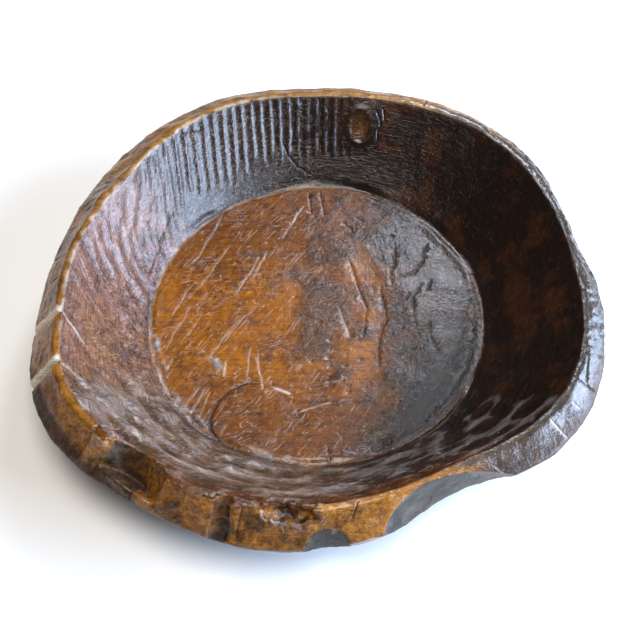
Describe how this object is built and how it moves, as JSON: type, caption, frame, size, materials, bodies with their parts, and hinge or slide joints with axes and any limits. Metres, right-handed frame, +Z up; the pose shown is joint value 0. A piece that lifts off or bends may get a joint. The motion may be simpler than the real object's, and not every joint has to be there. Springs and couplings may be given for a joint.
{
  "type": "carved wooden bowl",
  "caption": "Wide, heavy bowl hewn from one block of hardwood: flat round floor, gouged flaring wall, uneven bevelled rim with drying splits and two scoops.",
  "frame": {"origin": "middle of the flat foot, on the surface the bowl stands on", "axes": "+Z up out of the bowl's mouth, -Y towards the side of the rim with the two scoops, +X to the right seen from there"},
  "size_m": [0.553, 0.5427, 0.102],
  "materials": {
    "waxed_hardwood": "satin"
  },
  "bodies": {
    "root": {"bowl": "waxed_hardwood"}
  },
  "joints": []
}
